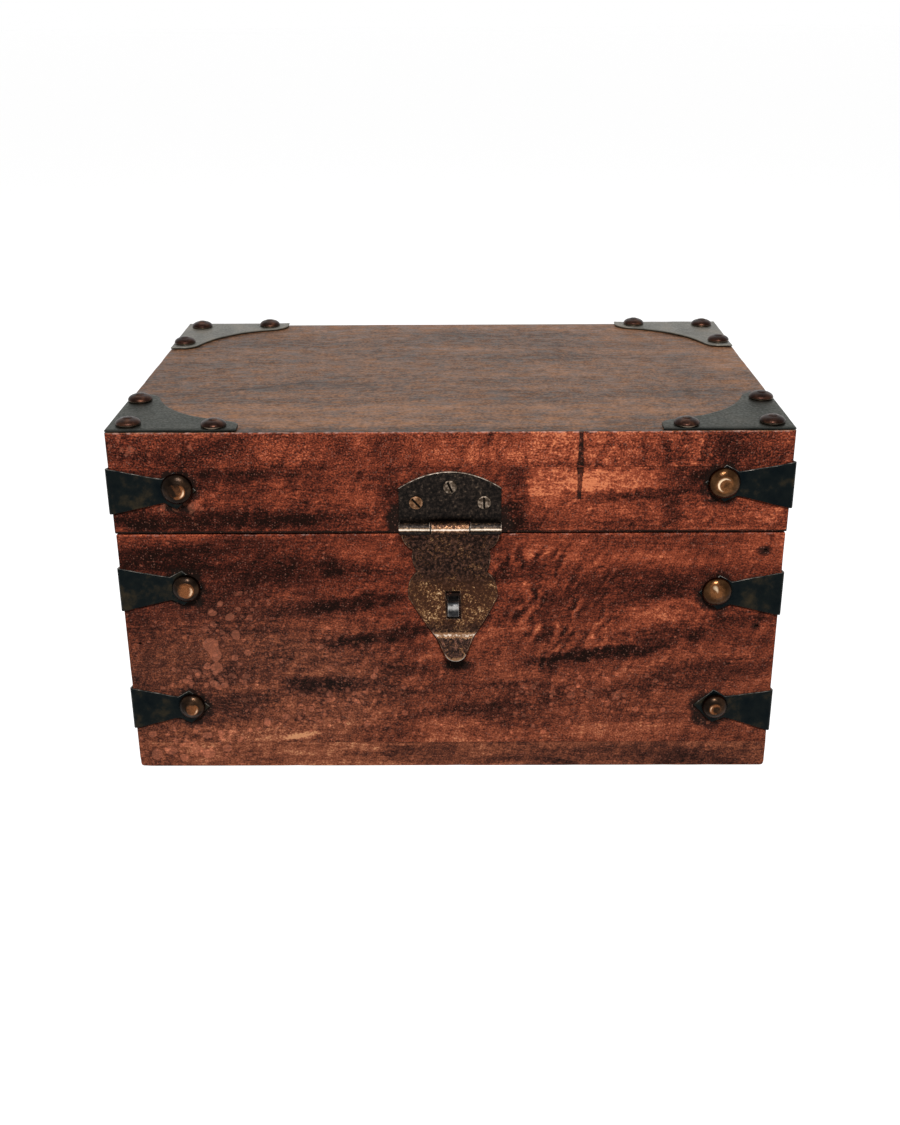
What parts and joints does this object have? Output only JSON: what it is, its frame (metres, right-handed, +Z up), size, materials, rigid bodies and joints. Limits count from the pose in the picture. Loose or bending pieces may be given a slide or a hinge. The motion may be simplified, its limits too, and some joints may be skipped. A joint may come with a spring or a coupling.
{
  "type": "iron-bound wooden chest",
  "caption": "Wooden chest with a back-hinged hollow lid, folded iron corner straps, dome-headed nails, flat lid corner plates and a hasp that closes over a staple.",
  "frame": {"origin": "middle of the underside of the base", "axes": "+X to the right along the front, +Y from front to back, +Z up"},
  "size_m": [0.31, 0.2202, 0.1718],
  "materials": {
    "wood": "dark reddish hardwood, oiled and worn",
    "iron": "blackened sheet iron with brown patina",
    "nail": "dark copper-brown domes with rubbed bright crowns",
    "steel": "worn grey steel"
  },
  "bodies": {
    "base": {"base_front_board": "wood", "base_back_board": "wood", "base_left_board": "wood", "base_right_board": "wood", "base_bottom_board": "wood", "upper_strap_front_left": "iron", "upper_strap_front_right": "iron", "upper_strap_back_left": "iron", "upper_strap_back_right": "iron", "lower_strap_front_left": "iron", "lower_strap_front_right": "iron", "lower_strap_back_left": "iron", "lower_strap_back_right": "iron", "upper_strap_nail_left": "nail", "upper_strap_nail_right": "nail", "lower_strap_nail_left": "nail", "lower_strap_nail_right": "nail", "hasp_staple": "iron", "hinge_left_base_leaf": "iron", "hinge_right_base_leaf": "iron", "hinge_left_pin": "steel", "hinge_right_pin": "steel"},
    "lid": {"lid_top_board": "wood", "lid_front_rail": "wood", "lid_back_rail": "wood", "lid_left_rail": "wood", "lid_right_rail": "wood", "lid_plate_front_left": "iron", "lid_plate_front_right": "iron", "lid_plate_back_left": "iron", "lid_plate_back_right": "iron", "lid_plate_nail_front_left_corner": "nail", "lid_plate_nail_front_left_width_arm": "nail", "lid_plate_nail_front_left_depth_arm": "nail", "lid_plate_nail_front_right_corner": "nail", "lid_plate_nail_front_right_width_arm": "nail", "lid_plate_nail_front_right_depth_arm": "nail", "lid_plate_nail_back_left_corner": "nail", "lid_plate_nail_back_left_width_arm": "nail", "lid_plate_nail_back_left_depth_arm": "nail", "lid_plate_nail_back_right_corner": "nail", "lid_plate_nail_back_right_width_arm": "nail", "lid_plate_nail_back_right_depth_arm": "nail", "lid_strap_front_left": "iron", "lid_strap_front_right": "iron", "lid_strap_back_left": "iron", "lid_strap_back_right": "iron", "lid_strap_nail_left": "nail", "lid_strap_nail_right": "nail", "hasp_leaf": "iron", "hasp_pin": "steel", "hasp_screw_left": "steel", "hasp_screw_top": "steel", "hasp_screw_right": "steel", "hinge_left_lid_leaf": "iron", "hinge_right_lid_leaf": "iron"},
    "hasp_flap": {"hasp_flap": "iron"}
  },
  "joints": [
    {"name": "lid_hinge", "type": "hinge", "parent": "base", "child": "lid", "pos_m": [0, 0.1064, 0.11975], "axis": [-1, 0, 0], "range_deg": [0, 165]},
    {"name": "hasp_hinge", "type": "hinge", "parent": "lid", "child": "hasp_flap", "pos_m": [0, -0.1065, 0.1236], "axis": [-1, 0, 0], "range_deg": [0, 165]}
  ]
}
